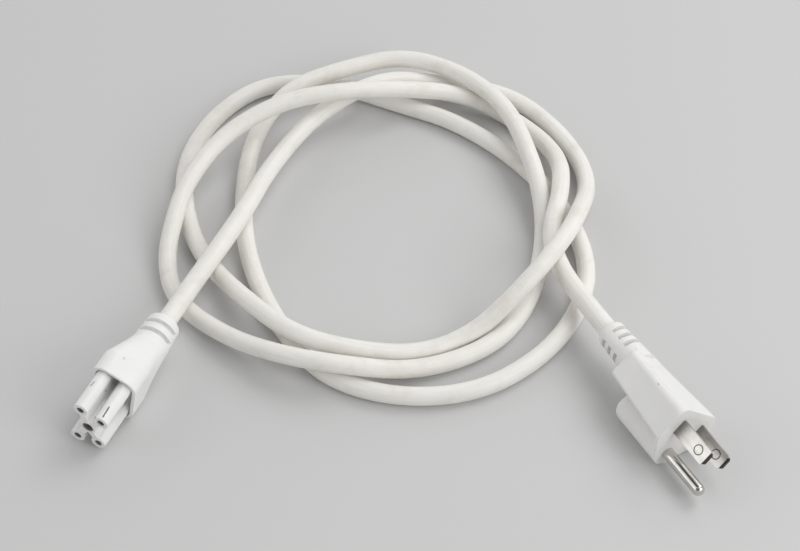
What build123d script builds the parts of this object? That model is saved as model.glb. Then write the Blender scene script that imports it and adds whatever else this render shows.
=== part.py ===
"""A power cord: a moulded three-pin wall plug, a round white cord lying in loose loops, and a
five-sleeve connector. Each end is drawn in its own frame, with +X out of its face, and is then
laid on the floor. The whole cord stands on Z = 0, under the middle of its two ends."""
import math
import os

from build123d import *

# Cord: round jacket over three insulated cores
cord_diameter = 7.6
cord_grip = 6.0
core_diameter = 2.6
strand_diameter = 1.3
core_spread = 1.9

# Where the ends lie: middle of each face, heading in plan and roll about its own axis
plug_face = (106.0, -15.5)
plug_heading = -59.7
plug_roll = -45.0
connector_face = (-112.5, -13.6)
connector_heading = 245.6

# Blades and ground pin of the wall plug
blade_length = 17.2
blade_height = 6.35
blade_thickness = 1.52
blade_spacing = 12.7
blade_chamfer = 1.2
ring_diameter = 4.0
ring_width = 0.35
ring_depth = 0.15
ring_place = 12.0
pin_diameter = 4.75
pin_length = 21.4
pin_drop = 11.89
pin_shank_diameter = 4.0
pin_collar_diameter = 6.4
pin_collar_length = 1.4
tail_length = 9.0
barrel_length = 6.0
barrel_wall = 1.05
barrel_floor = 1.0
blade_core_straight = 8.0
blade_core_lead = 7.0
earth_core_straight = 18.5
earth_core_lead = 4.5

# Plug moulding
body_length = 35.0
front_top_height = 7.0
front_bottom_depth = 8.2
front_top_width = 20.0
front_bottom_width = 24.0
back_top_height = 6.2
back_bottom_depth = 6.4
back_top_width = 15.6
back_bottom_width = 18.0
top_edge_radius = 2.6
bottom_edge_radius = 1.2
back_edge_radius = 1.0
boss_diameter = 11.8
boss_length = 27.0
boss_rib_width = 8.4
boss_end_radius = 3.6
boss_rib_inset = 1.2
lip_length = 1.6
bridge_front = 3.0
bridge_length = 5.0
bridge_width = 18.4
bridge_height = 9.2
bridge_corner = 2.0
bridge_wall = 1.6

# Slotted strain relief of the plug
relief_length = 17.0
relief_rise = 1.0
relief_front_diameter = 13.2
relief_back_diameter = 11.0
relief_overlap = 3.0
bead_width = 2.2
slot_count = 3
slot_width = 1.8
slot_pitch = 3.9
slot_depth = 1.7
slot_end = 3.0
slot_web = 4.2

# Five-sleeve insert of the connector
left_pair_spacing = 17.2
right_pair_spacing = 13.8
pair_distance = 8.5
centre_share = 0.43
sleeve_diameter = 5.8
sleeve_hole = 3.0
centre_boss_diameter = 6.5
centre_hole = 4.5
web_thickness = 2.6
sleeve_reach = 17.0
sleeve_edge = 0.25
mouth_length = 2.0
contact_clearance = 2.6
contact_wall = 0.55
contact_length = 19.0
centre_contact_bore = 4.0
recess_depth = 7.0
base_length = 4.0
base_wall = 0.6
sleeve_core_straight = 3.0
sleeve_core_lead = 1.6

# Connector shell
rim_wall = 1.3
rim_gap = 0.6
straight_length = 9.0
shell_length = 38.5
neck_offset = 1.2
neck_front_diameter = 14.4
neck_back_diameter = 13.0
neck_length = 12.0
neck_edge = 2.0
groove_count = 2
groove_width = 2.0
groove_pitch = 4.6
groove_depth = 1.5
groove_start = 1.4
groove_web = 4.0

# Route of the cord: plan and height of each bend, from the connector to the plug
loops = [
    (-66, 87, 13.2), (-52, 123, 10), (-33, 154, 12.8), (-6, 171, 13.2), (22, 174, 4.5),
    (49, 167, 3.8), (70, 144, 3.8), (83, 118, 3.8), (80, 91, 14), (68, 70, 22.4),
    (51, 52, 20.5), (31, 38, 10), (7, 30, 3.8), (-19, 29, 10), (-37, 35, 13),
    (-53, 51, 13.5), (-72, 71, 3.8), (-85, 96, 3.8), (-88, 126, 3.8), (-76, 157, 3.8),
    (-53, 175, 3.8), (-26, 177, 3.8), (1, 166, 3.8), (25, 152, 3.8), (50, 132, 3.8),
    (67, 104, 3.8), (75, 76, 3.8), (71, 46, 3.8), (54, 21, 3.8), (30, 6, 3.8),
    (1, 3, 3.8), (-26, 13, 3.8), (-43, 36, 3.8), (-56, 63, 3.8), (-64, 94, 3.8),
    (-65, 124, 3.8), (-59, 150, 8), (-45, 168, 12.8), (-23, 182, 12.8), (3, 186, 12.8),
    (28, 180, 12.8), (47, 158, 13.2), (56, 128, 14), (58, 102, 10.5), (57, 76, 3.8),
    (49, 51, 3.8), (32, 27.5, 3.8), (6, 19.5, 4), (-20, 17, 12.8), (-42, 20, 13),
    (-65, 29, 7), (-84, 47, 3.8), (-94, 72, 3.8), (-93, 96, 11), (-85, 121, 13),
    (-70, 144, 17), (-49, 157, 22), (-23, 161, 22.4), (3, 162, 17), (29, 160, 7.5),
    (51, 145, 3.8), (67, 124, 7), (70, 103, 13), (61, 79, 13), (62, 59, 13),
]
first_run = 20.0
last_run = 14.0


def laid(face, height, heading, roll):
    """The plane of an end that lies on the floor, with X along the way it faces."""
    forward = Vector(1, 0, 0).rotate(Axis.Z, heading)
    up = Vector(0, 0, 1).rotate(Axis((0, 0, 0), tuple(forward)), roll)
    return Plane(origin=(face[0], face[1], height), x_dir=forward, z_dir=up)


def keep(piece, name, plane=Plane.XY):
    """Lays a finished piece on its plane and writes it under its own name."""
    placed = piece.part.moved(plane.location)
    placed.label = name
    export_step(placed, f"parts/{name}.step")


def corner_radii(points):
    """The largest arc that each bend of a route leaves room for."""
    radii = []
    for before, here, after in zip(points, points[1:], points[2:]):
        arriving, leaving = here - before, after - here
        turn = math.radians(arriving.get_angle(leaving))
        radii.append(0.45 * min(arriving.length, leaving.length) / math.tan(turn / 2))
    return radii


def core_path(start, straight, end, lead):
    """Straight out of the cut end of the cord, across to a crimp barrel and straight into it."""
    knee = (start[0] + straight, start[1], start[2])
    heel = (end[0] - lead, end[1], end[2])
    points = [Vector(*p) for p in (start, knee, heel, end)]
    return points, corner_radii(points)


def core_place(angle, x, y, z):
    """Where a core leaves the cut end of the cord, by its angle around the cord's axis."""
    turn = math.radians(angle)
    return (x, y + core_spread * math.cos(turn), z + core_spread * math.sin(turn))


def round_run(points, radii, outer, inner=0.0):
    """A round rod or tube along a route of straight runs and tangent arcs."""
    with BuildPart() as run:
        with BuildLine() as route:
            FilletPolyline(*points, radius=radii)
        with BuildSketch(Plane(origin=route.line @ 0, z_dir=route.line % 0)):
            Circle(outer / 2)
            if inner:
                Circle(inner / 2, mode=Mode.SUBTRACT)
        sweep()
    return run


def crimp_barrel(x, y, z):
    """A barrel behind a contact, closed at its front, with a bore for the strands."""
    with BuildPart() as barrel:
        with BuildSketch(Plane.YZ.offset(x)):
            with Locations((y, z)):
                Circle(strand_diameter / 2 + barrel_wall)
        extrude(amount=-barrel_length)
        with BuildSketch(Plane.YZ.offset(x - barrel_floor)):
            with Locations((y, z)):
                Circle(strand_diameter / 2)
        extrude(amount=-barrel_length, mode=Mode.SUBTRACT)
    return barrel


def make_blade(side):
    """A flat blade with clipped corners, a stamped ring on both faces and a crimped tail."""
    middle = side * blade_spacing / 2
    with BuildPart() as blade:
        with BuildSketch(Plane.XZ.offset(-middle)):
            with Locations(((blade_length - tail_length) / 2, 0)):
                Rectangle(blade_length + tail_length, blade_height)
            chamfer(vertices().group_by(Axis.X)[-1], blade_chamfer)
        extrude(amount=blade_thickness / 2, both=True)
        for face_side in (-1, 1):
            face_place = middle + face_side * blade_thickness / 2
            with BuildSketch(Plane.XZ.offset(-face_place)):
                with Locations((ring_place, 0)):
                    Circle(ring_diameter / 2)
                    Circle(ring_diameter / 2 - ring_width, mode=Mode.SUBTRACT)
            extrude(amount=face_side * ring_depth, mode=Mode.SUBTRACT)
        add(crimp_barrel(-tail_length, middle, 0).part)
    return blade


def make_ground_pin():
    """A round pin with a domed tip, a collar inside the plug and a crimped tail."""
    radius = pin_diameter / 2
    shank = pin_shank_diameter / 2
    with BuildPart() as pin:
        with BuildSketch(Plane.XZ):
            with BuildLine():
                Polyline((-tail_length, -pin_drop), (-tail_length, -pin_drop + shank), (0, -pin_drop + shank),
                         (0, -pin_drop + radius), (pin_length - radius, -pin_drop + radius))
                RadiusArc((pin_length - radius, -pin_drop + radius), (pin_length, -pin_drop), radius)
                Line((pin_length, -pin_drop), (-tail_length, -pin_drop))
            make_face()
        revolve(axis=Axis((0, 0, -pin_drop), (1, 0, 0)))
        with BuildSketch(Plane.YZ.offset(-bridge_front)):
            with Locations((0, -pin_drop)):
                Circle(pin_collar_diameter / 2)
        extrude(amount=pin_collar_length)
        add(crimp_barrel(-tail_length, 0, -pin_drop).part)
    return pin


def body_section(x, top_width, bottom_width, top, bottom):
    """A cross section of the plug's body: wider at the bottom, with softer top corners."""
    with BuildSketch(Plane.YZ.offset(x)) as section:
        with BuildLine():
            Polyline((-top_width / 2, top), (top_width / 2, top),
                     (bottom_width / 2, -bottom), (-bottom_width / 2, -bottom), close=True)
        make_face()
        fillet(section.vertices().group_by(Axis.Y)[-1], top_edge_radius)
        fillet(section.vertices().group_by(Axis.Y)[0], bottom_edge_radius)
    return section


def cut_slots(first, count, width, pitch, depth, web, axis_place, diameter):
    """Cross slots cut into a round neck from above and below, with a web left at each side."""
    for index in range(count):
        with BuildSketch(Plane.YZ.offset(first + index * pitch)) as slot:
            with Locations(axis_place):
                Circle(diameter)
                Circle(diameter / 2 - depth, mode=Mode.SUBTRACT)
                Rectangle(2 * diameter, web, mode=Mode.SUBTRACT)
        extrude(slot.sketch, amount=width, mode=Mode.SUBTRACT)


# Wall plug: contacts, bridge and wires
live_blade = make_blade(-1)
neutral_blade = make_blade(1)
ground_pin = make_ground_pin()

with BuildPart() as plug_bridge:
    with BuildSketch(Plane.YZ.offset(-bridge_front)):
        RectangleRounded(bridge_width, bridge_height, bridge_corner)
        with Locations((0, -pin_drop / 2)):
            Rectangle(pin_diameter + 2 * bridge_wall, pin_drop)
        with Locations((0, -pin_drop)):
            Circle(pin_diameter / 2 + bridge_wall)
    extrude(amount=-bridge_length)
    for contact in (live_blade, neutral_blade, ground_pin):
        add(contact.part, mode=Mode.SUBTRACT)

plug_entry = -body_length - relief_length
plug_cut = plug_entry + cord_grip
plug_crimp = -tail_length - barrel_length
plug_core_ends = {
    "live": (core_place(150, plug_cut, 0, relief_rise), blade_core_straight,
             (plug_crimp, -blade_spacing / 2, 0), blade_core_lead),
    "neutral": (core_place(30, plug_cut, 0, relief_rise), blade_core_straight,
                (plug_crimp, blade_spacing / 2, 0), blade_core_lead),
    "earth": (core_place(270, plug_cut, 0, relief_rise), earth_core_straight,
              (plug_crimp, 0, -pin_drop), earth_core_lead),
}


def make_wires(core_ends):
    """The insulation and the bare strands of each core, from the cut cord to its barrel."""
    insulation, strands = {}, {}
    for name, ends in core_ends.items():
        points, radii = core_path(*ends)
        insulation[name] = round_run(points, radii, core_diameter, strand_diameter)
        stripped = points[:-1] + [points[-1] + Vector(barrel_length - barrel_floor, 0, 0)]
        strands[name] = round_run(stripped, radii, strand_diameter)
    return insulation, strands


plug_cores, plug_strands = make_wires(plug_core_ends)

# Wall plug: boss under the body, round the ground pin, with a rib up into the body
with BuildPart() as pin_boss:
    with BuildSketch(Plane.YZ):
        with Locations((0, -pin_drop)):
            Circle(boss_diameter / 2)
    extrude(amount=-boss_length)
    fillet(pin_boss.faces().sort_by(Axis.X)[0].edges(), boss_end_radius)
    with BuildSketch(Plane.YZ):
        with Locations((0, -pin_drop / 2)):
            Rectangle(boss_rib_width, pin_drop)
    extrude(amount=boss_rib_inset - boss_length)

# Wall plug: tapered strain relief with a bead at the cord end
with BuildPart() as plug_relief:
    with BuildSketch(Plane.YZ.offset(-body_length + relief_overlap)):
        with Locations((0, relief_rise)):
            Circle(relief_front_diameter / 2)
    with BuildSketch(Plane.YZ.offset(plug_entry)):
        with Locations((0, relief_rise)):
            Circle(relief_back_diameter / 2)
    loft()
    fillet(plug_relief.faces().sort_by(Axis.X)[0].edges(), bead_width / 2)
    cut_slots(plug_entry + slot_end, slot_count, slot_width, slot_pitch, slot_depth, slot_web,
              (0, relief_rise), relief_back_diameter)

# Wall plug: moulding in one piece with its slotted strain relief
with BuildPart() as plug_overmould:
    front = body_section(0, front_top_width, front_bottom_width, front_top_height, front_bottom_depth)
    back = body_section(-body_length, back_top_width, back_bottom_width, back_top_height, back_bottom_depth)
    loft([front.sketch, back.sketch])
    fillet(plug_overmould.faces().sort_by(Axis.X)[0].edges(), back_edge_radius)
    add(pin_boss.part)
    # lip that joins body and boss at the face
    with BuildSketch(Plane.YZ):
        with Locations((0, -pin_drop)):
            boss_face = Circle(boss_diameter / 2)
        make_hull(front.sketch_local.edges() + boss_face.edges())
    extrude(amount=-lip_length)
    add(plug_relief.part)
    # room for what is moulded in
    with BuildSketch(Plane.YZ.offset(plug_entry)):
        with Locations((0, relief_rise)):
            Circle(cord_diameter / 2)
    extrude(amount=cord_grip, mode=Mode.SUBTRACT)
    for contact in (live_blade, neutral_blade, ground_pin, plug_bridge):
        add(contact.part, mode=Mode.SUBTRACT)
    for name in plug_cores:
        add(plug_cores[name].part, mode=Mode.SUBTRACT)
        add(plug_strands[name].part, mode=Mode.SUBTRACT)

# Connector: places of the sleeves on the face
left_place = -pair_distance / 2
right_place = pair_distance / 2
sleeve_places = {
    "upper_left": (left_place, left_pair_spacing / 2),
    "lower_left": (left_place, -left_pair_spacing / 2),
    "upper_right": (right_place, right_pair_spacing / 2),
    "lower_right": (right_place, -right_pair_spacing / 2),
}
centre_place = (left_place + centre_share * pair_distance, 0)
wired_sleeves = {"live": "upper_right", "neutral": "lower_right"}

rim_x = -sleeve_reach
recess_x = rim_x - recess_depth
base_x = recess_x - base_length
rim_radius = sleeve_diameter / 2 + rim_gap + rim_wall
pocket_radius = sleeve_diameter / 2 + rim_gap
base_radius = contact_clearance / 2 + contact_wall + base_wall


def pattern_outline(x, radius):
    """The outline that runs round the four corner sleeves at one distance from their axes."""
    with BuildSketch(Plane.YZ.offset(x)) as outline:
        with BuildLine():
            for place in sleeve_places.values():
                CenterArc(place, radius, 0, 360)
        make_hull()
    return outline.sketch


def neck_section(x, diameter):
    """A round section of the neck, which stands to one side of the sleeve pattern."""
    with BuildSketch(Plane.YZ.offset(x)) as section:
        with Locations((neck_offset, 0)):
            Circle(diameter / 2)
    return section.sketch


def make_socket(place, bore, wired):
    """A socket tube with a closed back, and a crimp barrel where a core reaches it."""
    outer = bore / 2 + contact_wall
    with BuildPart() as socket:
        with BuildSketch(Plane.YZ.offset(-mouth_length)):
            with Locations(place):
                Circle(outer)
        extrude(amount=base_x + mouth_length)
        with BuildSketch(Plane.YZ.offset(-mouth_length)):
            with Locations(place):
                Circle(bore / 2)
        extrude(amount=-contact_length, mode=Mode.SUBTRACT)
        if wired:
            add(crimp_barrel(base_x, *place).part)
    return socket


sockets = {}
for corner, place in sleeve_places.items():
    sockets[corner] = make_socket(place, contact_clearance, corner in wired_sleeves.values())
sockets["centre"] = make_socket(centre_place, centre_contact_bore, True)

with BuildPart() as insert_base:
    loft([pattern_outline(recess_x, pocket_radius), pattern_outline(base_x, base_radius)])

with BuildPart() as sleeve_insert:
    add(insert_base.part)
    with BuildSketch(Plane.YZ):
        for corner in sleeve_places.values():
            with Locations(corner):
                Circle(sleeve_diameter / 2)
            reach_y, reach_z = corner[0] - centre_place[0], corner[1] - centre_place[1]
            middle = (centre_place[0] + reach_y / 2, centre_place[1] + reach_z / 2)
            with Locations(Location(middle, math.degrees(math.atan2(reach_z, reach_y)))):
                Rectangle(math.hypot(reach_y, reach_z), web_thickness)
        with Locations(centre_place):
            Circle(centre_boss_diameter / 2)
    extrude(amount=recess_x)
    fillet(sleeve_insert.faces().sort_by(Axis.X)[-1].outer_wire().edges(), sleeve_edge)
    with BuildSketch(Plane.YZ):
        for corner in sleeve_places.values():
            with Locations(corner):
                Circle(sleeve_hole / 2)
        with Locations(centre_place):
            Circle(centre_hole / 2)
    extrude(amount=-mouth_length, mode=Mode.SUBTRACT)
    with BuildSketch(Plane.YZ.offset(-mouth_length)):
        for corner in sleeve_places.values():
            with Locations(corner):
                Circle(contact_clearance / 2)
        with Locations(centre_place):
            Circle(centre_contact_bore / 2)
    extrude(amount=-contact_length, mode=Mode.SUBTRACT)
    for socket in sockets.values():
        add(socket.part, mode=Mode.SUBTRACT)

connector_entry = rim_x - shell_length
connector_cut = connector_entry + cord_grip
connector_crimp = base_x - barrel_length
neck_x = connector_entry + neck_length
connector_core_ends = {
    name: (core_place(angle, connector_cut, neck_offset, 0), sleeve_core_straight,
           (connector_crimp, *place), sleeve_core_lead)
    for name, angle, place in (("live", 90, sleeve_places["upper_right"]),
                               ("neutral", 270, sleeve_places["lower_right"]),
                               ("earth", 180, centre_place))
}
connector_cores, connector_strands = make_wires(connector_core_ends)

# Connector: shell moulded round the insert, tapering to a grooved neck
with BuildPart() as connector_overmould:
    extrude(pattern_outline(rim_x, rim_radius), amount=straight_length, dir=(-1, 0, 0))
    shoulder = pattern_outline(rim_x - straight_length, rim_radius)
    neck_front = neck_section(neck_x, neck_front_diameter)
    loft([shoulder, neck_front])
    loft([neck_front, neck_section(connector_entry, neck_back_diameter)])
    fillet(connector_overmould.faces().sort_by(Axis.X)[0].edges(), neck_edge)
    cut_slots(neck_x - groove_start - groove_width - (groove_count - 1) * groove_pitch, groove_count,
              groove_width, groove_pitch, groove_depth, groove_web, (neck_offset, 0), neck_back_diameter)
    pocket = pattern_outline(rim_x, pocket_radius)
    extrude(pocket, amount=recess_depth, dir=(-1, 0, 0), mode=Mode.SUBTRACT)
    add(insert_base.part, mode=Mode.SUBTRACT)
    with BuildSketch(Plane.YZ.offset(connector_entry)):
        with Locations((neck_offset, 0)):
            Circle(cord_diameter / 2)
    extrude(amount=cord_grip, mode=Mode.SUBTRACT)
    for socket in sockets.values():
        add(socket.part, mode=Mode.SUBTRACT)
    for name in connector_cores:
        add(connector_cores[name].part, mode=Mode.SUBTRACT)
        add(connector_strands[name].part, mode=Mode.SUBTRACT)

# Both ends lie on the floor: the plug on its boss and lower edge, the connector on its lower side
slant = math.degrees(math.atan((left_pair_spacing - right_pair_spacing) / 2 / pair_distance))
connector_height = (left_pair_spacing + right_pair_spacing) / 4 * math.cos(math.radians(slant)) + rim_radius
plug_height = pin_drop * math.cos(math.radians(plug_roll)) + boss_diameter / 2
plug_plane = laid(plug_face, plug_height, plug_heading, plug_roll)
connector_plane = laid(connector_face, connector_height, connector_heading, -slant)

# Cord jacket: from its cut end in the connector, round the loops, to its cut end in the plug
leaving = connector_plane.from_local_coords(Vector(connector_cut, neck_offset, 0))
arriving = plug_plane.from_local_coords(Vector(plug_cut, 0, relief_rise))
cord_route = [leaving, leaving - connector_plane.x_dir * (first_run + cord_grip)]
cord_route += [Vector(*bend) for bend in loops]
cord_route += [arriving - plug_plane.x_dir * (last_run + cord_grip), arriving]
cord_radii = corner_radii(cord_route)
cord_jacket = round_run(cord_route, cord_radii, cord_diameter)

os.makedirs("parts", exist_ok=True)
keep(cord_jacket, "cord_jacket")
keep(plug_overmould, "plug_overmould", plug_plane)
keep(plug_bridge, "plug_bridge", plug_plane)
keep(live_blade, "live_blade", plug_plane)
keep(neutral_blade, "neutral_blade", plug_plane)
keep(ground_pin, "ground_pin", plug_plane)
keep(connector_overmould, "connector_overmould", connector_plane)
keep(sleeve_insert, "sleeve_insert", connector_plane)
for name, socket in sockets.items():
    keep(socket, f"{name}_socket", connector_plane)
for name in plug_cores:
    keep(plug_cores[name], f"plug_{name}_core", plug_plane)
    keep(plug_strands[name], f"plug_{name}_strands", plug_plane)
    keep(connector_cores[name], f"connector_{name}_core", connector_plane)
    keep(connector_strands[name], f"connector_{name}_strands", connector_plane)

print("bend radii", [round(radius) for radius in cord_radii])
print("cord volume over section", round(cord_jacket.part.volume / (math.pi * cord_diameter**2 / 4)))
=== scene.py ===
import math

import bmesh
import bpy
import numpy as np
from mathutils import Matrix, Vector


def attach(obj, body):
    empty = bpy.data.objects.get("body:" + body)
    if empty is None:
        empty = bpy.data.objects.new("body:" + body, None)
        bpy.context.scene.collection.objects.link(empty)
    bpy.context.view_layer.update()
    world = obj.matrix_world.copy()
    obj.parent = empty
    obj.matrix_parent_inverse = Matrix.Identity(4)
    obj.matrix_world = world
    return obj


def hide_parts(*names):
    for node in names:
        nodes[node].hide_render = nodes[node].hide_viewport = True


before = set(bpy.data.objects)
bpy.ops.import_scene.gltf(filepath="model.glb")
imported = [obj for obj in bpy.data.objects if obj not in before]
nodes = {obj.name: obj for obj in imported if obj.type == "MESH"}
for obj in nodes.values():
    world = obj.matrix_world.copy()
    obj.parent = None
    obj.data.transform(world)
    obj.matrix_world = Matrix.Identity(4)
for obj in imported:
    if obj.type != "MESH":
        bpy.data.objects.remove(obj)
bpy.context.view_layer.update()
scene = bpy.context.scene
print("stage: frame loaded, nodes", len(nodes))

# Camera: a long lens, 49 degrees above the floor
cameraSet = {
    "lens": 90.0,
    "sensor": 36.0,
    "target": (0.001, 0.071, 0.0),   # metres, where the middle of the picture meets the floor
    "distance": 0.795,
    "elevation": 49.0,
    "clip": (0.01, 100.0),
}


def placeCamera(settings):
    # position = target + distance * (0, -cos e, sin e); tilt from straight down = 90 - e
    rise = math.radians(settings["elevation"])
    lens = bpy.data.cameras.new("camera")
    lens.lens = settings["lens"]
    lens.sensor_width = settings["sensor"]
    lens.clip_start, lens.clip_end = settings["clip"]
    camera = bpy.data.objects.new("camera", lens)
    back = Vector((0.0, -math.cos(rise), math.sin(rise)))
    camera.location = Vector(settings["target"]) + settings["distance"] * back
    camera.rotation_euler = (math.pi / 2 - rise, 0.0, 0.0)
    scene.collection.objects.link(camera)
    scene.camera = camera


placeCamera(cameraSet)

# Cord: one smooth line led by the bends, from the connector round the loops to the plug
cordSet = {
    "diameter": 0.0076,
    "pulled": 0.95,      # share of the full thickness in the loops, where the jacket has been pulled thin
    "fullEnds": 3,       # points at each end that keep the full thickness
    "length": 1.845,
    "exit": (-0.0885, 0.0365, 0.0122),     # where it leaves the connector's neck
    # first and last points, in millimetres, in line with the two necks
    "start": [(-90.98, 30.99, 12.16), (-80.24, 54.67, 12.16)],
    "end": [(73.31, 41.84, 15.01), (83.40, 24.57, 15.01)],
    "resolution": 14,
    "roundness": 9,
}
# plan and height of each bend, in millimetres: the solid's route, moved to follow the photograph
cordBends = [
    (-63, 89, 13.2), (-52, 122.5, 10), (-33.5, 150.5, 12.8), (-6.5, 171.5, 13.2), (20, 177, 3.9),
    (49, 170.5, 3.8), (70, 145.5, 3.8), (79.5, 119, 3.8), (71, 86, 16.5), (59.5, 62.5, 22),
    (45, 47.5, 15), (28.5, 37, 3.8), (7.5, 27.5, 3.8), (-17, 25, 10), (-39, 30, 13),
    (-56, 46.5, 11), (-74, 71.5, 3.8), (-84.5, 93, 3.8), (-89.5, 127, 3.8), (-78.5, 157, 3.8),
    (-57, 178, 3.8), (-27, 177, 3.8), (1.5, 164, 3.8), (24, 154.5, 3.8), (48, 134, 3.8),
    (67.5, 105.5, 3.8), (76.5, 74, 3.8), (70.5, 48, 3.8), (54.5, 25.5, 3.8), (30.5, 9.5, 3.8),
    (1.5, 6.5, 3.8), (-26, 15.5, 3.8), (-42.5, 36, 3.8), (-55.5, 63, 3.8), (-62.5, 92, 3.8),
    (-63, 126.5, 3.8), (-58, 147, 8), (-45, 166, 12.8), (-22, 177.5, 12.8), (2.5, 185, 13.2),
    (27.5, 173.5, 13.8), (45.5, 153.5, 14), (53.5, 127, 14.4), (59, 106, 8), (58.5, 79.5, 3.8),
    (49.5, 48, 3.8), (33.5, 29.5, 3.8), (6, 19, 4), (-20.5, 15.5, 12.8), (-41.5, 19.5, 13),
    (-65, 34, 6), (-86.5, 53.5, 3.8), (-92.5, 76, 3.8), (-89, 97, 10.5), (-84.5, 112, 13.5),
    (-71.5, 133.5, 17), (-48.5, 147.5, 22), (-24, 153.5, 22.4), (2, 163, 14.5), (27.5, 168, 7),
    (52.5, 153, 3.8), (67, 130.5, 7), (66.5, 105.5, 13.9), (60, 82.5, 12.2), (63.5, 63, 12.6),
]
millimetre = 0.001


def makeCord(settings, bends):
    # quadratic B-spline with the route's points as its control points, and a round bevel
    route = np.array(settings["start"] + bends + settings["end"]) * millimetre
    curve = bpy.data.curves.new("cord", "CURVE")
    curve.dimensions = "3D"
    curve.bevel_depth = settings["diameter"] / 2
    curve.bevel_resolution = settings["roundness"]
    curve.resolution_u = settings["resolution"]
    curve.use_fill_caps = True
    spline = curve.splines.new("NURBS")
    spline.points.add(len(route) - 1)
    spline.points.foreach_set("co", np.column_stack([route, np.ones(len(route))]).ravel())
    full = settings["fullEnds"]
    thick = np.full(len(route), settings["pulled"])
    thick[:full] = thick[-full:] = 1.0
    spline.points.foreach_set("radius", thick)
    spline.order_u = 3
    spline.use_endpoint_u = True
    spline.use_smooth = True
    cord = bpy.data.objects.new("cord", curve)
    scene.collection.objects.link(cord)
    return cord


cord = makeCord(cordSet, cordBends)
print("stage: cord made, control points", len(cord.data.splines[0].points))


# Node helpers: each takes a tree, adds one node, and returns the output that carries its result
def setOrLink(tree, socket, value):
    if isinstance(value, bpy.types.NodeSocket):
        tree.links.new(value, socket)
    else:
        socket.default_value = value


def mathNode(tree, operation, a, b=0.0):
    node = tree.nodes.new("ShaderNodeMath")
    node.operation = operation
    setOrLink(tree, node.inputs[0], a)
    setOrLink(tree, node.inputs[1], b)
    return node.outputs[0]


def vectorNode(tree, operation, a, b=(0.0, 0.0, 0.0), output="Vector"):
    # scaling takes a number, which has a socket of its own
    node = tree.nodes.new("ShaderNodeVectorMath")
    node.operation = operation
    setOrLink(tree, node.inputs[0], a)
    setOrLink(tree, node.inputs["Scale" if operation == "SCALE" else 1], b)
    return node.outputs[output]


def noiseNode(tree, vector, scale, detail=3.0, roughness=0.5):
    node = tree.nodes.new("ShaderNodeTexNoise")
    node.inputs["Detail"].default_value = detail
    node.inputs["Roughness"].default_value = roughness
    setOrLink(tree, node.inputs["Vector"], vector)
    setOrLink(tree, node.inputs["Scale"], scale)
    return node.outputs["Fac"]


def rangeNode(tree, value, fromMin, fromMax, toMin=0.0, toMax=1.0):
    node = tree.nodes.new("ShaderNodeMapRange")
    node.interpolation_type = "SMOOTHSTEP"
    for place, number in zip((0, 1, 2, 3, 4), (value, fromMin, fromMax, toMin, toMax)):
        setOrLink(tree, node.inputs[place], number)
    return node.outputs[0]


def mixNode(tree, factor, a, b):
    # inputs 6 and 7 and output 2 are the node's colour sockets
    node = tree.nodes.new("ShaderNodeMix")
    node.data_type = "RGBA"
    setOrLink(tree, node.inputs["Factor"], factor)
    setOrLink(tree, node.inputs[6], a)
    setOrLink(tree, node.inputs[7], b)
    return node.outputs[2]


def newGroup(name, inputs, outputs):
    tree = bpy.data.node_groups.new(name, "ShaderNodeTree")
    for label, kind, value in inputs:
        socket = tree.interface.new_socket(name=label, in_out="INPUT", socket_type=kind)
        if kind == "NodeSocketFloat":
            socket.default_value = value
    for label in outputs:
        tree.interface.new_socket(name=label, in_out="OUTPUT", socket_type="NodeSocketFloat")
    return tree, tree.nodes.new("NodeGroupInput").outputs, tree.nodes.new("NodeGroupOutput").inputs


def opaque(tone):
    return (*tone, 1.0)


def placeGroup(tree, group, **values):
    node = tree.nodes.new("ShaderNodeGroup")
    node.node_tree = group
    for label, value in values.items():
        setOrLink(tree, node.inputs[label], value)
    return node.outputs


# Moulded skin: fine spark-eroded grain, a slow mottle from handling, and both together as a height
skinSet = {
    "grainDetail": 2.0,
    "mottleDetail": 4.0,
    "mottleRough": 0.6,
    "toneReach": (0.32, 0.68),      # mottle at which the tone is 0 and 1
    "roughReach": (0.35, 0.65),     # blend at which a moulding is at its smoothest and roughest
    "grainShare": 0.6,
    "mottleShare": 0.4,
    "mottleRise": 1.5,              # height of the mottle when the grain's is 1
}


def makeSkinGroup(settings):
    # rough = 0.6 grain + 0.4 mottle; height = grain + 1.5 mottle
    tree, inside, outside = newGroup(
        "mouldedSkin",
        [("Vector", "NodeSocketVector", None), ("Grain", "NodeSocketFloat", 2600.0),
         ("Mottle", "NodeSocketFloat", 70.0)],
        ["Tone", "Rough", "Height"],
    )
    grain = noiseNode(tree, inside["Vector"], inside["Grain"], detail=settings["grainDetail"])
    mottle = noiseNode(tree, inside["Vector"], inside["Mottle"],
                       settings["mottleDetail"], settings["mottleRough"])
    blend = mathNode(tree, "ADD", mathNode(tree, "MULTIPLY", grain, settings["grainShare"]),
                     mathNode(tree, "MULTIPLY", mottle, settings["mottleShare"]))
    height = mathNode(tree, "ADD", grain, mathNode(tree, "MULTIPLY", mottle, settings["mottleRise"]))
    tree.links.new(rangeNode(tree, mottle, *settings["toneReach"]), outside["Tone"])
    tree.links.new(blend, outside["Rough"])
    tree.links.new(height, outside["Height"])
    return tree


skinGroup = makeSkinGroup(skinSet)

# Nick: a short scratch or speck with a ragged edge
nickSet = {
    "ragged": 2400.0,
    "raggedDetail": 1.0,
    "raggedMost": 2.0,      # noise of 1 makes the nick this many times its width
    "edge": (0.6, 1.0),
    "sink": 3.0,            # how deep it lies when the grain's height is 1
}


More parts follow.
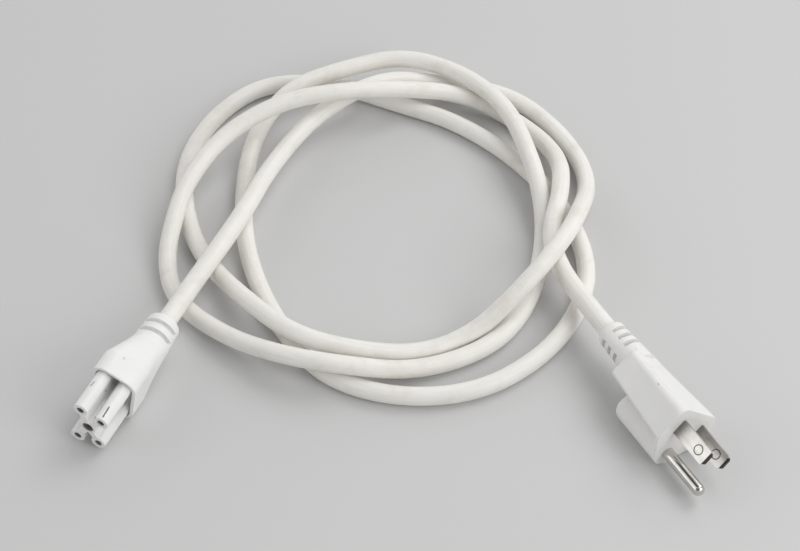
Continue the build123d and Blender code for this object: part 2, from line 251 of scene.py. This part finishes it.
def makeNickGroup(settings):
    # 1 where the distance from the line centre - along to centre + along < width * ragged, fading at its edge
    tree, inside, outside = newGroup(
        "nick",
        [("Vector", "NodeSocketVector", None), ("Centre", "NodeSocketVector", None),
         ("Along", "NodeSocketVector", None), ("Width", "NodeSocketFloat", 0.0002)],
        ["Mask"],
    )
    fromCentre = vectorNode(tree, "SUBTRACT", inside["Vector"], inside["Centre"])
    alongSquare = vectorNode(tree, "DOT_PRODUCT", inside["Along"], inside["Along"], "Value")
    alongShare = vectorNode(tree, "DOT_PRODUCT", fromCentre, inside["Along"], "Value")
    share = mathNode(tree, "DIVIDE", alongShare, alongSquare)
    share = mathNode(tree, "MINIMUM", mathNode(tree, "MAXIMUM", share, -1.0), 1.0)
    nearest = vectorNode(tree, "SCALE", inside["Along"], share)
    offLine = vectorNode(tree, "DISTANCE", fromCentre, nearest, "Value")
    noise = noiseNode(tree, inside["Vector"], settings["ragged"], detail=settings["raggedDetail"])
    ragged = mathNode(tree, "MULTIPLY", noise, settings["raggedMost"])
    reach = mathNode(tree, "DIVIDE", offLine, mathNode(tree, "MULTIPLY", inside["Width"], ragged))
    tree.links.new(rangeNode(tree, reach, *settings["edge"], 1.0, 0.0), outside["Mask"])
    return tree


nickGroup = makeNickGroup(nickSet)

# Bore shade: painted shade on the inside of a round hole
boreShadeSet = {
    # tone of the painted shade inside the bores
    "tone": (0.33, 0.305, 0.265),
    "wall": (1.04, 1.14),           # shares of the radius between which it fades
    "lip": (0.0001, 0.0007),        # depths between which it begins
    # mouths on the connector's face, across and up, in millimetres, with their radius
    "mouths": [(-4.25, 8.6, 1.5), (-4.25, -8.6, 1.5), (4.25, 6.9, 1.5), (4.25, -6.9, 1.5), (-0.595, 0, 2.25)],
}


def makeBoreShadeGroup(settings):
    # mask of the painted shade: 1 where the distance off the axis < radius, past a short way in from the mouth
    tree, inside, outside = newGroup(
        "boreShade",
        [("Vector", "NodeSocketVector", None), ("Mouth", "NodeSocketVector", None),
         ("Axis", "NodeSocketVector", None), ("Radius", "NodeSocketFloat", 0.0015)],
        ["Mask"],
    )
    fromMouth = vectorNode(tree, "SUBTRACT", inside["Vector"], inside["Mouth"])
    depth = vectorNode(tree, "DOT_PRODUCT", fromMouth, inside["Axis"], "Value")
    turned = vectorNode(tree, "CROSS_PRODUCT", fromMouth, inside["Axis"])
    offAxis = vectorNode(tree, "LENGTH", turned, output="Value")
    across = rangeNode(tree, mathNode(tree, "DIVIDE", offAxis, inside["Radius"]), *settings["wall"], 1.0, 0.0)
    within = rangeNode(tree, depth, *settings["lip"])
    tree.links.new(mathNode(tree, "MULTIPLY", across, within), outside["Mask"])
    return tree


boreShadeGroup = makeBoreShadeGroup(boreShadeSet)

# Drawn metal: fine streaks one way, and smudges from fingers
drawnSet = {
    "stretch": (0.06, 1.0, 1.0),
    "streakDetail": 2.0,
    "smudge": 260.0,
    "smudgeDetail": 3.0,
    "smudgeReach": (0.35, 0.7),
    "roughReach": (0.3, 0.7),       # streak at which a metal is at its smoothest and roughest
}


def makeDrawnGroup(settings):
    # streak = noise(0.06 x, y, z), long along x; smudge = slow noise
    tree, inside, outside = newGroup(
        "drawnMetal",
        [("Vector", "NodeSocketVector", None), ("Scale", "NodeSocketFloat", 900.0)],
        ["Streak", "Smudge"],
    )
    stretched = vectorNode(tree, "MULTIPLY", inside["Vector"], settings["stretch"])
    streak = noiseNode(tree, stretched, inside["Scale"], detail=settings["streakDetail"])
    smudge = noiseNode(tree, inside["Vector"], settings["smudge"], detail=settings["smudgeDetail"])
    tree.links.new(streak, outside["Streak"])
    tree.links.new(rangeNode(tree, smudge, *settings["smudgeReach"]), outside["Smudge"])
    return tree


drawnGroup = makeDrawnGroup(drawnSet)
print("stage: node groups built")


def newMaterial(name, roughness, metallic=0.0, ior=1.5):
    material = bpy.data.materials.new(name)
    material.use_nodes = True
    tree = material.node_tree
    tree.nodes.clear()
    shader = tree.nodes.new("ShaderNodeBsdfPrincipled")
    output = tree.nodes.new("ShaderNodeOutputMaterial")
    tree.links.new(shader.outputs[0], output.inputs["Surface"])
    shader.inputs["Roughness"].default_value = roughness
    shader.inputs["Metallic"].default_value = metallic
    shader.inputs["IOR"].default_value = ior
    return material, tree, shader


def bumpInto(tree, shader, height, distance):
    bump = tree.nodes.new("ShaderNodeBump")
    bump.inputs["Distance"].default_value = distance
    tree.links.new(height, bump.inputs["Height"])
    tree.links.new(bump.outputs[0], shader.inputs["Normal"])


def objectPlace(tree):
    return tree.nodes.new("ShaderNodeTexCoord").outputs["Object"]


# How far light goes into the white plastics: shares for red, green and blue of a length in metres
glowSet = {
    "radius": (1.0, 0.95, 0.85),
    "scale": 0.0012,
}


def finishVinyl(tree, shader, settings, colour, skin, height):
    rough = rangeNode(tree, skin["Rough"], *skinSet["roughReach"], *settings["rough"])
    tree.links.new(colour, shader.inputs["Base Color"])
    tree.links.new(rough, shader.inputs["Roughness"])
    shader.inputs["Subsurface Weight"].default_value = settings["glow"]
    shader.inputs["Subsurface Radius"].default_value = glowSet["radius"]
    shader.inputs["Subsurface Scale"].default_value = glowSet["scale"]
    bumpInto(tree, shader, height, settings["relief"])


def whiteVinyl(name, settings, marks=(), bores=()):
    # the mottle runs between two whites; each nick darkens it and sinks, and each bore gets painted shade
    # inside
    material, tree, shader = newMaterial(name, settings["rough"][0], ior=settings["ior"])
    place = objectPlace(tree)
    skin = placeGroup(tree, skinGroup, Vector=place, Grain=settings["grain"], Mottle=settings["mottle"])
    colour = mixNode(tree, skin["Tone"], opaque(settings["light"]), opaque(settings["dark"]))
    height = skin["Height"]
    for centre, along, width, depth in marks:
        nick = placeGroup(tree, nickGroup, Vector=place, Centre=centre, Along=along, Width=width)
        dark = mathNode(tree, "MULTIPLY", nick["Mask"], depth)
        sunk = mathNode(tree, "MULTIPLY", nick["Mask"], nickSet["sink"])
        colour = mixNode(tree, dark, colour, opaque(settings["nick"]))
        height = mathNode(tree, "SUBTRACT", height, sunk)
    for mouth, axis, radius in bores:
        boreShade = placeGroup(tree, boreShadeGroup, Vector=place, Mouth=mouth, Axis=axis, Radius=radius)
        colour = mixNode(tree, boreShade["Mask"], colour, opaque(boreShadeSet["tone"]))
    finishVinyl(tree, shader, settings, colour, skin, height)
    return material


# Ends: each has its own frame, with x out of its face, as the solids' source lays them
endSet = {
    "connector": {"face": (-0.1125, -0.0136, 0.0123995), "heading": 245.6, "roll": -11.31},
    "plug": {"face": (0.106, -0.0155, 0.0143075), "heading": -59.7, "roll": -45.0},
}


def endAxes(settings):
    # forward = (cos h, sin h, 0); up = z turned round forward by the roll; side = up x forward
    heading, roll = math.radians(settings["heading"]), math.radians(settings["roll"])
    forward = np.array([math.cos(heading), math.sin(heading), 0.0])
    level = np.cross([0.0, 0.0, 1.0], forward)
    up = np.array([0.0, 0.0, math.cos(roll)]) - math.sin(roll) * level
    return np.array(settings["face"]), forward, np.cross(up, forward), up


plugFace, plugForward, plugSide, plugUp = endAxes(endSet["plug"])
connectorFace, connectorForward, connectorSide, connectorUp = endAxes(endSet["connector"])


def nickFrom(first, last, width, depth):
    # centre = (first + last) / 2; along = (last - first) / 2
    first, last = np.array(first) * millimetre, np.array(last) * millimetre
    return tuple((first + last) / 2), tuple((last - first) / 2), width * millimetre, depth


# Marks on the mouldings: two end points and a width in millimetres, then how dark the mark is
plugNicks = [
    nickFrom((93.8, 7.4, 22.4), (94.2, 6.9, 22.4), 0.3, 0.75),
    nickFrom((94.8, -2.7, 25.1), (95.0, -3.3, 25.1), 0.28, 0.7),
    nickFrom((88.6, 16.6, 21.4), (88.9, 16.1, 21.5), 0.2, 0.4),
    nickFrom((88.5, 14.1, 22.7), (104.2, -16.6, 27.1), 0.14, 0.10),     # faint line where the mould closed
]
insertNicks = [
    nickFrom((-104.5, -10.7, 21.2), (-106.3, -15.0, 21.2), 0.34, 0.95),
    nickFrom((-110.3, -1.6, 24.5), (-111.6, -3.4, 24.4), 0.26, 0.8),
    nickFrom((-106.9, -0.4, 17.9), (-107.1, -0.9, 17.9), 0.3, 0.8),
    nickFrom((-109.1, -14.6, 20.4), (-109.3, -15.0, 20.4), 0.3, 0.8),
]
connectorNicks = [nickFrom((-100.3, 9.2, 25.1), (-100.6, 8.4, 25.1), 0.25, 0.45)]


def boreFrom(across, up, radius):
    # mouth = face + across * side + up * up; axis = into the connector
    mouth = connectorFace + millimetre * (across * connectorSide + up * connectorUp)
    return tuple(mouth), tuple(-connectorForward), radius * millimetre


insertBores = [boreFrom(*mouth) for mouth in boreShadeSet["mouths"]]

# Finishes of the white plastics: two whites for the mottle, roughness range, glow, grain, and relief in metres
whiteSet = {
    "cord": {"light": (0.90, 0.885, 0.85), "dark": (0.825, 0.805, 0.75), "grime": (0.68, 0.645, 0.57),
             "rough": (0.40, 0.55), "ior": 1.5, "glow": 0.1,
             "grain": 2200.0, "mottle": 55.0, "relief": 0.00006},
    "plug": {"light": (0.86, 0.855, 0.835), "dark": (0.83, 0.825, 0.80), "nick": (0.22, 0.20, 0.17),
             "rough": (0.34, 0.46), "ior": 1.5, "glow": 0.12,
             "grain": 2600.0, "mottle": 80.0, "relief": 0.00003},
    "connector": {"light": (0.89, 0.89, 0.88), "dark": (0.865, 0.865, 0.855), "nick": (0.25, 0.24, 0.22),
                  "rough": (0.34, 0.46), "ior": 1.5, "glow": 0.12,
                  "grain": 2600.0, "mottle": 80.0, "relief": 0.00003},
    "insert": {"light": (0.87, 0.87, 0.855), "dark": (0.84, 0.84, 0.825), "nick": (0.10, 0.09, 0.08),
               "rough": (0.28, 0.38), "ior": 1.52, "glow": 0.12,
               "grain": 3000.0, "mottle": 90.0, "relief": 0.00002},
    "bridge": {"light": (0.70, 0.67, 0.58), "dark": (0.64, 0.61, 0.52), "nick": (0.3, 0.28, 0.24),
               "rough": (0.4, 0.5), "ior": 1.53, "glow": 0.1,
               "grain": 2000.0, "mottle": 120.0, "relief": 0.00003},
}

# Wear of the jacket: streaks left by drawing it, and patches dulled by handling
wearSet = {
    "streaks": (80.0, 22.0, 1.0),       # along and round the jacket
    "streakDetail": 3.0,
    "streakRough": 0.6,
    "streakReach": (0.38, 0.66),
    "streakShare": 0.5,
    "streakRise": 2.0,
    "patches": 85.0,
    "patchDetail": 5.0,
    "patchRough": 0.65,
    "patchReach": (0.5, 0.74),
    "patchMost": 0.4,
}


def cordVinyl(settings, wear):
    # tone = half mottle + half streak, which follows the cord's own UV map; slow patches turn it to grime
    material, tree, shader = newMaterial("cordVinyl", settings["rough"][0], ior=settings["ior"])
    place = tree.nodes.new("ShaderNodeTexCoord").outputs
    skin = placeGroup(tree, skinGroup, Vector=place["Object"],
                      Grain=settings["grain"], Mottle=settings["mottle"])
    unrolled = vectorNode(tree, "MULTIPLY", place["UV"], wear["streaks"])
    streak = noiseNode(tree, unrolled, 1.0, wear["streakDetail"], wear["streakRough"])
    drawn = rangeNode(tree, streak, *wear["streakReach"])
    tone = mathNode(tree, "ADD", mathNode(tree, "MULTIPLY", skin["Tone"], 1.0 - wear["streakShare"]),
                    mathNode(tree, "MULTIPLY", drawn, wear["streakShare"]))
    colour = mixNode(tree, tone, opaque(settings["light"]), opaque(settings["dark"]))
    patches = noiseNode(tree, place["Object"], wear["patches"], wear["patchDetail"], wear["patchRough"])
    handled = rangeNode(tree, patches, *wear["patchReach"], 0.0, wear["patchMost"])
    colour = mixNode(tree, handled, colour, opaque(settings["grime"]))
    height = mathNode(tree, "ADD", skin["Height"], mathNode(tree, "MULTIPLY", streak, wear["streakRise"]))
    finishVinyl(tree, shader, settings, colour, skin, height)
    return material


# Metals: satin nickel blades, polished nickel pin, tinned contacts painted dark as painted shade deep in their
# sockets, and bare copper
metalSet = {
    "blade": {"light": (0.72, 0.70, 0.67), "dark": (0.64, 0.62, 0.59),
              "rough": (0.26, 0.38), "scale": 1100.0, "relief": 0.000006},
    "pin": {"light": (0.64, 0.62, 0.59), "dark": (0.55, 0.53, 0.50),
            "rough": (0.06, 0.12), "scale": 1300.0, "relief": 0.000003},
    # the contacts' colours are painted shade: the tin darkened where it lies deep in the sockets
    "contact": {"light": (0.30, 0.27, 0.215), "dark": (0.15, 0.13, 0.10),
                "rough": (0.3, 0.45), "scale": 1500.0, "relief": 0.00001},
    "copper": {"light": (0.86, 0.46, 0.28), "dark": (0.62, 0.28, 0.16),
               "rough": (0.25, 0.4), "scale": 2600.0, "relief": 0.00004},
}

# Blade marks and painted reflections, in metres from the plug's face: the stamped ring, a painted dark
# reflection at the root and a painted dark reflection on the tip's end facets
stampAndReflectionSet = {
    "ring": 0.0120,
    "radius": 0.0018,
    "line": 0.00022,
    "lineEdge": (0.6, 1.2),
    "ringTone": (0.10, 0.095, 0.09),
    "root": (0.0, 0.0080),
    "rootReflectionTone": (0.26, 0.245, 0.225),
    "tip": (0.0163, 0.0167),
    "tipTone": (0.045, 0.042, 0.04),
}


def stampAndReflectionTone(tree, colour, settings):
    # out = distance from the plug's face, rise = height in the blade
    # ring where | |(out - ring, rise)| - radius | < line
    fromFace = vectorNode(tree, "SUBTRACT", objectPlace(tree), tuple(plugFace))
    out = vectorNode(tree, "DOT_PRODUCT", fromFace, tuple(plugForward), "Value")
    rise = vectorNode(tree, "DOT_PRODUCT", fromFace, tuple(plugUp), "Value")
    aside = mathNode(tree, "SUBTRACT", out, settings["ring"])
    squares = mathNode(tree, "ADD", mathNode(tree, "MULTIPLY", aside, aside),
                       mathNode(tree, "MULTIPLY", rise, rise))
    apart = mathNode(tree, "SQRT", squares)
    offRing = mathNode(tree, "ABSOLUTE", mathNode(tree, "SUBTRACT", apart, settings["radius"]))
    # painted reflections: dark near the root and on the tip's end facets
    root = rangeNode(tree, out, *settings["root"], 1.0, 0.0)
    ring = rangeNode(tree, offRing, *(edge * settings["line"] for edge in settings["lineEdge"]), 1.0, 0.0)
    tip = rangeNode(tree, out, *settings["tip"])
    for mask, tone in ((root, "rootReflectionTone"), (ring, "ringTone"), (tip, "tipTone")):
        colour = mixNode(tree, mask, colour, opaque(settings[tone]))
    return colour


def drawnMetal(name, settings, heading, stampAndReflection=None):
    # place turned back by the heading, so that the streaks run along the end that carries the metal
    material, tree, shader = newMaterial(name, settings["rough"][0], metallic=1.0)
    turn = tree.nodes.new("ShaderNodeMapping")
    turn.vector_type = "TEXTURE"
    turn.inputs["Rotation"].default_value = (0.0, 0.0, math.radians(heading))
    tree.links.new(objectPlace(tree), turn.inputs["Vector"])
    drawn = placeGroup(tree, drawnGroup, Vector=turn.outputs[0], Scale=settings["scale"])
    colour = mixNode(tree, drawn["Smudge"], opaque(settings["light"]), opaque(settings["dark"]))
    if stampAndReflection:
        colour = stampAndReflectionTone(tree, colour, stampAndReflection)
    rough = rangeNode(tree, drawn["Streak"], *drawnSet["roughReach"], *settings["rough"])
    tree.links.new(colour, shader.inputs["Base Color"])
    tree.links.new(rough, shader.inputs["Roughness"])
    bumpInto(tree, shader, drawn["Streak"], settings["relief"])
    return material


# Insulation of the three cores
insulationSet = {
    "live": {"light": (0.030, 0.030, 0.032), "dark": (0.018, 0.018, 0.020)},
    "neutral": {"light": (0.78, 0.78, 0.76), "dark": (0.70, 0.70, 0.68)},
    "earth": {"light": (0.06, 0.32, 0.10), "dark": (0.04, 0.24, 0.07)},
}


def dress(node, material):
    mesh = nodes[node].data
    mesh.materials.clear()
    mesh.materials.append(material)


cord.data.materials.append(cordVinyl(whiteSet["cord"], wearSet))
dress("cord_jacket", cord.data.materials[0])
dress("plug_overmould", whiteVinyl("plugVinyl", whiteSet["plug"], plugNicks))
dress("connector_overmould", whiteVinyl("connectorVinyl", whiteSet["connector"], connectorNicks))
dress("sleeve_insert", whiteVinyl("insertNylon", whiteSet["insert"], insertNicks, insertBores))
dress("plug_bridge", whiteVinyl("bridgeNylon", whiteSet["bridge"]))

plugHeading, connectorHeading = endSet["plug"]["heading"], endSet["connector"]["heading"]
bladeMetal = drawnMetal("bladeNickel", metalSet["blade"], plugHeading, stampAndReflectionSet)
for node in ("live_blade", "neutral_blade"):
    dress(node, bladeMetal)
dress("ground_pin", drawnMetal("pinNickel", metalSet["pin"], plugHeading))
contactMetal = drawnMetal("contactTin", metalSet["contact"], connectorHeading)
for sleeve in ("upper_left", "lower_left", "upper_right", "lower_right", "centre"):
    dress(f"{sleeve}_socket", contactMetal)
for end, heading in (("plug", plugHeading), ("connector", connectorHeading)):
    copper = drawnMetal(f"{end}Copper", metalSet["copper"], heading)
    for core, tones in insulationSet.items():
        insulation = whiteVinyl(f"{end}{core.title()}Insulation", {**whiteSet["bridge"], **tones})
        dress(f"{end}_{core}_strands", copper)
        dress(f"{end}_{core}_core", insulation)
print("stage: solids dressed")

# Crown: the plug's upper skin, as wide at its front as the real one, over the solid and sunk in it at the back,
# in millimetres from the plug's face
crownSet = {
    "length": 34.4,
    "proud": 0.03,          # how far it stands in front of the plug's face
    # half width at the upper corners and at the lower edges, height of both, and the corners' radius
    "back": {"half": 7.65, "lowHalf": 8.75, "top": 6.05, "low": -5.6, "corner": 2.6},
    "front": {"half": 12.45, "lowHalf": 11.97, "top": 7.75, "low": -7.2, "corner": 3.4},
    "wall": 3.4,            # how far the inner arch lies inside the outer one
    "innerCorner": 0.3,
    "rows": 36,
    "cornerSteps": 10,
    "sideSteps": 6,
    "crease": 40.0,         # degrees past which an edge is sharp
}


def crownArch(end, settings, inset, corner):
    # right side: (low half width to half width, low to top - corner), then a quarter turn; the left mirrors it
    half, top, lowHalf = end["half"] - inset, end["top"] - inset, end["lowHalf"] - inset
    turns = np.linspace(0.0, math.pi / 2, settings["cornerSteps"] + 1)
    rise = np.linspace(0.0, 1.0, settings["sideSteps"] + 1)[:-1]
    side = np.column_stack([lowHalf + rise * (half - lowHalf),
                            end["low"] + rise * (top - corner - end["low"])])
    bend = np.column_stack([half - corner + corner * np.cos(turns), top - corner + corner * np.sin(turns)])
    right = np.vstack([side, bend])
    return np.vstack([right * (-1.0, 1.0), right[::-1]])


def crownLoop(end, settings):
    # the outer arch one way, and the inner arch back
    outer = crownArch(end, settings, 0.0, end["corner"])
    inner = crownArch(end, settings, settings["wall"], settings["innerCorner"])
    return np.vstack([outer, inner[::-1]])


def makeCrown(settings):
    # point(row, column) = face + x * forward + y * side + z * up, x from the back to the front
    share = np.linspace(0.0, 1.0, settings["rows"] + 1)
    back, front = crownLoop(settings["back"], settings), crownLoop(settings["front"], settings)
    grid = back + share[:, None, None] * (front - back)
    forward = settings["proud"] + (share - 1.0) * settings["length"]
    along = forward[:, None, None] * plugForward + grid[..., :1] * plugSide + grid[..., 1:] * plugUp
    points = (plugFace + millimetre * along).reshape(-1, 3)
    count, half = grid.shape[1], grid.shape[1] // 2
    row, column = np.meshgrid(np.arange(settings["rows"]) * count, np.arange(count), indexing="ij")
    after = (column + 1) % count
    skin = np.stack([row + column, row + after, row + count + after, row + count + column], axis=-1)
    skin = skin.reshape(-1, 4)
    edge = np.arange(half - 1)
    backCap = np.stack([edge, edge + 1, count - 2 - edge, count - 1 - edge], axis=1)
    frontCap = backCap + settings["rows"] * count
    mesh = bpy.data.meshes.new("plugCrown")
    mesh.from_pydata(points.tolist(), [], np.vstack([skin, backCap, frontCap]).tolist())
    shape = bmesh.new()
    shape.from_mesh(mesh)
    bmesh.ops.recalc_face_normals(shape, faces=shape.faces)
    shape.to_mesh(mesh)
    shape.free()
    mesh.shade_smooth()
    mesh.set_sharp_from_angle(angle=math.radians(settings["crease"]))
    crown = bpy.data.objects.new("plugCrown", mesh)
    scene.collection.objects.link(crown)
    mesh.materials.append(nodes["plug_overmould"].data.materials[0])
    return crown


plugCrown = makeCrown(crownSet)
print("stage: crown laid over the plug")

# Floor: a wide flat sheet, pale grey, that keeps the cord's soft shadow
floorSet = {
    "radius": 6.0,
    "rings": 24,
    "spokes": 96,
    "colour": (0.635, 0.635, 0.635),
    "shade": 0.99,          # the darker tone's share of the colour
    "cloud": 6.0,
    "cloudDetail": 2.0,
    "rough": 0.9,
    "shine": 0.1,
}


def makeFloor(settings):
    # point(ring, spoke) = radius * (ring / rings)^3 * (cos, sin, 0), closed by one point in the middle
    rings = settings["radius"] * (np.arange(1, settings["rings"] + 1) / settings["rings"]) ** 3
    turns = 2 * math.pi * np.arange(settings["spokes"]) / settings["spokes"]
    ring, turn = np.meshgrid(rings, turns, indexing="ij")
    points = np.stack([ring * np.cos(turn), ring * np.sin(turn), np.zeros_like(ring)], axis=-1).reshape(-1, 3)
    points = np.vstack([points, [[0.0, 0.0, 0.0]]])
    count, middle = settings["spokes"], len(points) - 1
    spoke, after = np.arange(count), (np.arange(count) + 1) % count
    start = np.arange(settings["rings"] - 1)[:, None] * count
    inner, beside = (start + spoke).ravel(), (start + after).ravel()
    quads = np.stack([inner, inner + count, beside + count, beside], axis=1).tolist()
    fan = np.stack([np.full(count, middle), spoke, after], axis=1).tolist()
    mesh = bpy.data.meshes.new("floor")
    mesh.from_pydata(points.tolist(), [], quads + fan)
    floor = bpy.data.objects.new("floor", mesh)
    scene.collection.objects.link(floor)
    material, tree, shader = newMaterial("floorPaper", settings["rough"])
    cloud = noiseNode(tree, objectPlace(tree), settings["cloud"], detail=settings["cloudDetail"])
    darker = tuple(settings["shade"] * part for part in settings["colour"])
    colour = mixNode(tree, cloud, opaque(settings["colour"]), opaque(darker))
    tree.links.new(colour, shader.inputs["Base Color"])
    shader.inputs["Specular IOR Level"].default_value = settings["shine"]
    mesh.materials.append(material)
    return floor


floor = makeFloor(floorSet)

# Light: a pale room with brighter and darker sides for the metal, a soft lamp behind and a weak one in front
lightSet = {
    "room": 1.17,
    "horizon": 0.61,
    "horizonReach": (0.12, 0.2),        # heights between which the horizon's strength gives way to the room's
    # direction, inner and outer reach in degrees, and the strength there
    "panels": [
        ((-0.90, -0.04, 0.42), 8, 20, 0.65),    # pale panel on the left
        ((0.75, 0.35, 0.55), 10, 24, -0.85),    # dark side on the right
        ((-0.25, -0.60, 0.76), 14, 44, -0.95),  # dark round the camera
        ((-0.24, 0.36, 0.90), 16, 24, -1.05),   # dark strip overhead
    ],
    "middle": (0.0, 0.08, 0.0),
    "lamps": {
        "backLamp": {"place": (0.8, 0.6, 1.15), "size": 0.9, "power": 6.2},
        "fillLamp": {"place": (0.75, -0.45, 0.6), "size": 0.5, "power": 2.2},
    },
}


def lightRoom(settings):
    # strength = room + each panel's own, fading between its inner and outer reach; the horizon's own low down
    world = bpy.data.worlds.new("studio")
    world.use_nodes = True
    scene.world = world
    tree = world.node_tree
    tree.nodes.clear()
    direction = tree.nodes.new("ShaderNodeTexCoord").outputs["Generated"]
    strength = settings["room"]
    for toward, inner, outer, amount in settings["panels"]:
        unit = tuple(np.array(toward) / np.linalg.norm(toward))
        near = vectorNode(tree, "DOT_PRODUCT", direction, unit, "Value")
        edges = (math.cos(math.radians(angle)) for angle in (outer, inner))
        glow = rangeNode(tree, near, *edges, 0.0, amount)
        strength = mathNode(tree, "ADD", strength, glow)
    height = tree.nodes.new("ShaderNodeSeparateXYZ")
    tree.links.new(direction, height.inputs[0])
    low = rangeNode(tree, height.outputs["Z"], *settings["horizonReach"], 1.0, 0.0)
    above = mathNode(tree, "MULTIPLY", strength, mathNode(tree, "SUBTRACT", 1.0, low))
    strength = mathNode(tree, "ADD", above, mathNode(tree, "MULTIPLY", low, settings["horizon"]))
    background = tree.nodes.new("ShaderNodeBackground")
    tree.links.new(strength, background.inputs["Strength"])
    output = tree.nodes.new("ShaderNodeOutputWorld")
    tree.links.new(background.outputs[0], output.inputs["Surface"])


def hangLamp(name, settings, middle):
    # a square area lamp that faces the middle of the loops
    light = bpy.data.lights.new(name, "AREA")
    light.shape = "SQUARE"
    light.size = settings["size"]
    light.energy = settings["power"]
    lamp = bpy.data.objects.new(name, light)
    lamp.location = settings["place"]
    lamp.rotation_euler = (Vector(middle) - lamp.location).to_track_quat("-Z", "Y").to_euler()
    scene.collection.objects.link(lamp)


lightRoom(lightSet)
for lampName, lampSet in lightSet["lamps"].items():
    hangLamp(lampName, lampSet, lightSet["middle"])
scene.view_settings.view_transform = "Standard"
print("stage: floor and light set")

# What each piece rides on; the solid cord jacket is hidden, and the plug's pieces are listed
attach(cord, "root")
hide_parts("cord_jacket")
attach(plugCrown, "root")
plugPieces = [name for name in nodes if name.startswith("plug_")]
plugPieces += ["live_blade", "neutral_blade", "ground_pin"]

# Last step: report that the build ran to the end
print("stage: build finished")
